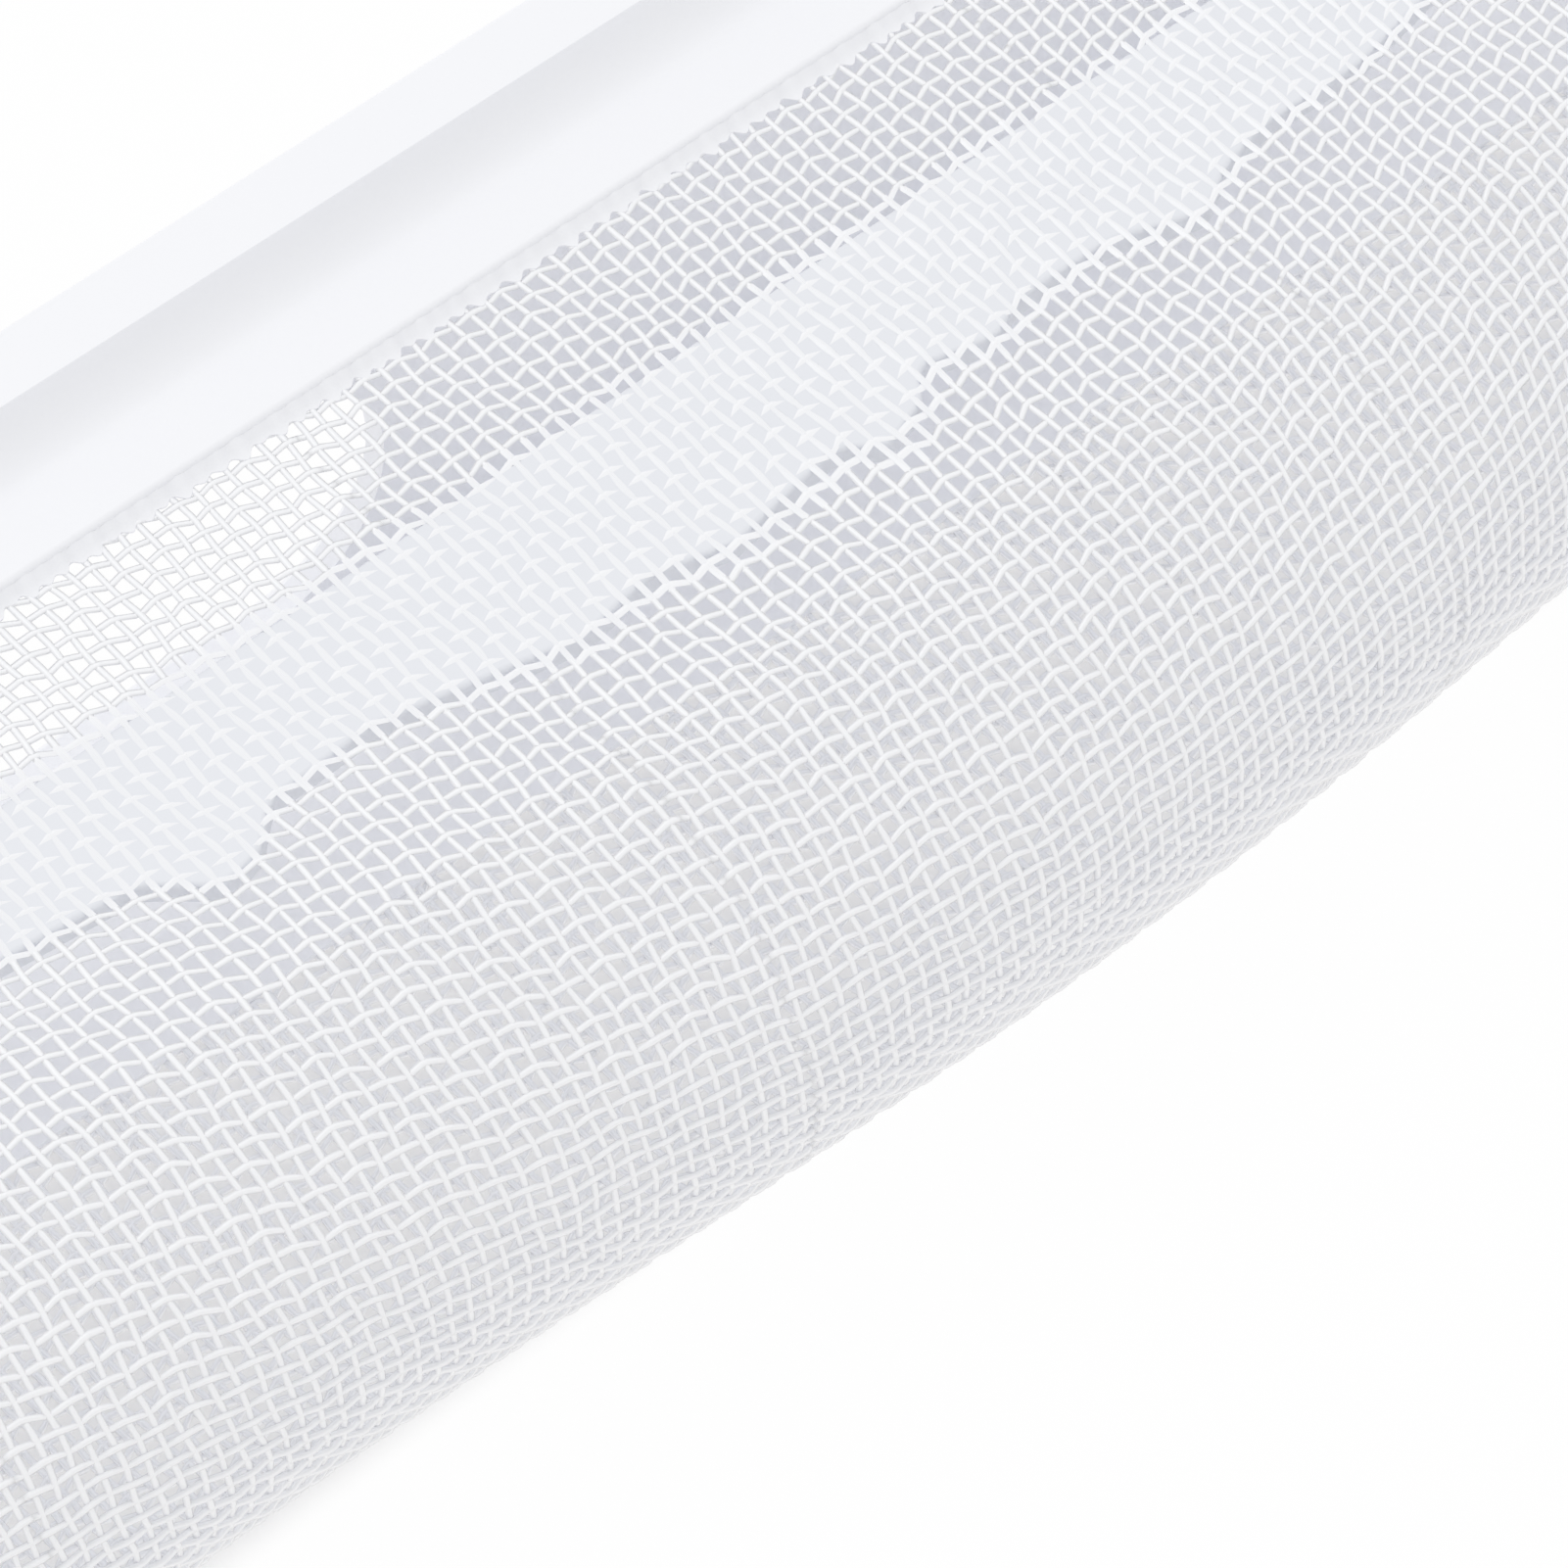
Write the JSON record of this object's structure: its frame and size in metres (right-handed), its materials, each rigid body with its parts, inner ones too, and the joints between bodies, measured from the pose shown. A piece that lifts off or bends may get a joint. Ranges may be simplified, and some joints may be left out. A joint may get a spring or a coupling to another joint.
{
  "type": "tumble dryer lint filter",
  "caption": "Pocket lint filter: moulded body with a coved rail and side-by-side mouths, and woven mesh wrapped round a rounded nose over a toothed strip.",
  "frame": {"origin": "under the middle of the part's box, on the surface that the filter lies on", "axes": "+X along the rail, +Y towards the mouth wall and the finger grip, +Z out of the front mesh"},
  "size_m": [0.24, 0.048, 0.0313],
  "materials": {
    "body_plastic": "white moulded polypropylene, satin",
    "strip_plastic": "white moulded strip, satin",
    "mesh_weave": "plain woven white monofilament, glossy threads"
  },
  "bodies": {
    "root": {"filter_body": "body_plastic", "stiffening_strip": "strip_plastic", "mesh_screen": "mesh_weave"}
  },
  "joints": []
}
